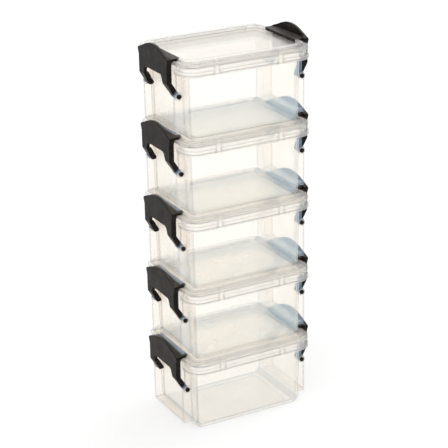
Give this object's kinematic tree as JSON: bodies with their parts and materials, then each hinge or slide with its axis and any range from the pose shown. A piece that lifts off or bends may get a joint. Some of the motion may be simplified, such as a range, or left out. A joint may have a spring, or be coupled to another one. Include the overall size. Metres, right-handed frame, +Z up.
{
  "type": "stack of clip-lid storage boxes",
  "caption": "Stack of small clear storage boxes, each a tub and a nesting lid held shut by a black hinged clip at either end.",
  "frame": {"origin": "on the surface that the stack stands on, under its centre", "axes": "+Z up the stack, X along the boxes' long side from the left clip to the right clip, Y across them"},
  "size_m": [0.0924, 0.065, 0.2372],
  "materials": {
    "clear_plastic": "milky clear, semi-gloss",
    "black_plastic": "moulded black, semi-gloss"
  },
  "bodies": {
    "box_1": {"tub_1": "clear_plastic", "lid_1": "clear_plastic"},
    "left_clip_1": {"left_clip_1": "black_plastic"},
    "right_clip_1": {"right_clip_1": "black_plastic"},
    "box_2": {"tub_2": "clear_plastic", "lid_2": "clear_plastic"},
    "left_clip_2": {"left_clip_2": "black_plastic"},
    "right_clip_2": {"right_clip_2": "black_plastic"},
    "box_3": {"tub_3": "clear_plastic", "lid_3": "clear_plastic"},
    "left_clip_3": {"left_clip_3": "black_plastic"},
    "right_clip_3": {"right_clip_3": "black_plastic"},
    "box_4": {"tub_4": "clear_plastic", "lid_4": "clear_plastic"},
    "left_clip_4": {"left_clip_4": "black_plastic"},
    "right_clip_4": {"right_clip_4": "black_plastic"},
    "box_5": {"tub_5": "clear_plastic", "lid_5": "clear_plastic"},
    "left_clip_5": {"left_clip_5": "black_plastic"},
    "right_clip_5": {"right_clip_5": "black_plastic"}
  },
  "joints": [
    {"name": "left_clip_1_hinge", "type": "hinge", "parent": "box_1", "child": "left_clip_1", "pos_m": [-0.0404, 0, 0.0265], "axis": [0, -1, 0], "range_deg": [0, 105]},
    {"name": "right_clip_1_hinge", "type": "hinge", "parent": "box_1", "child": "right_clip_1", "pos_m": [0.0404, 0, 0.0265], "axis": [0, 1, 0], "range_deg": [0, 105]},
    {"name": "box_2_lift", "type": "slide", "parent": "box_1", "child": "box_2", "axis": [0, 0, 1], "range_m": [0, 0.06]},
    {"name": "left_clip_2_hinge", "type": "hinge", "parent": "box_2", "child": "left_clip_2", "pos_m": [-0.0404, 0, 0.0725], "axis": [0, -1, 0], "range_deg": [0, 105]},
    {"name": "right_clip_2_hinge", "type": "hinge", "parent": "box_2", "child": "right_clip_2", "pos_m": [0.0404, 0, 0.0725], "axis": [0, 1, 0], "range_deg": [0, 105]},
    {"name": "box_3_lift", "type": "slide", "parent": "box_2", "child": "box_3", "axis": [0, 0, 1], "range_m": [0, 0.06]},
    {"name": "left_clip_3_hinge", "type": "hinge", "parent": "box_3", "child": "left_clip_3", "pos_m": [-0.0404, 0, 0.1185], "axis": [0, -1, 0], "range_deg": [0, 105]},
    {"name": "right_clip_3_hinge", "type": "hinge", "parent": "box_3", "child": "right_clip_3", "pos_m": [0.0404, 0, 0.1185], "axis": [0, 1, 0], "range_deg": [0, 105]},
    {"name": "box_4_lift", "type": "slide", "parent": "box_3", "child": "box_4", "axis": [0, 0, 1], "range_m": [0, 0.06]},
    {"name": "left_clip_4_hinge", "type": "hinge", "parent": "box_4", "child": "left_clip_4", "pos_m": [-0.0404, 0, 0.1645], "axis": [0, -1, 0], "range_deg": [0, 105]},
    {"name": "right_clip_4_hinge", "type": "hinge", "parent": "box_4", "child": "right_clip_4", "pos_m": [0.0404, 0, 0.1645], "axis": [0, 1, 0], "range_deg": [0, 105]},
    {"name": "box_5_lift", "type": "slide", "parent": "box_4", "child": "box_5", "axis": [0, 0, 1], "range_m": [0, 0.06]},
    {"name": "left_clip_5_hinge", "type": "hinge", "parent": "box_5", "child": "left_clip_5", "pos_m": [-0.0404, 0, 0.2105], "axis": [0, -1, 0], "range_deg": [0, 105]},
    {"name": "right_clip_5_hinge", "type": "hinge", "parent": "box_5", "child": "right_clip_5", "pos_m": [0.0404, 0, 0.2105], "axis": [0, 1, 0], "range_deg": [0, 105]}
  ]
}
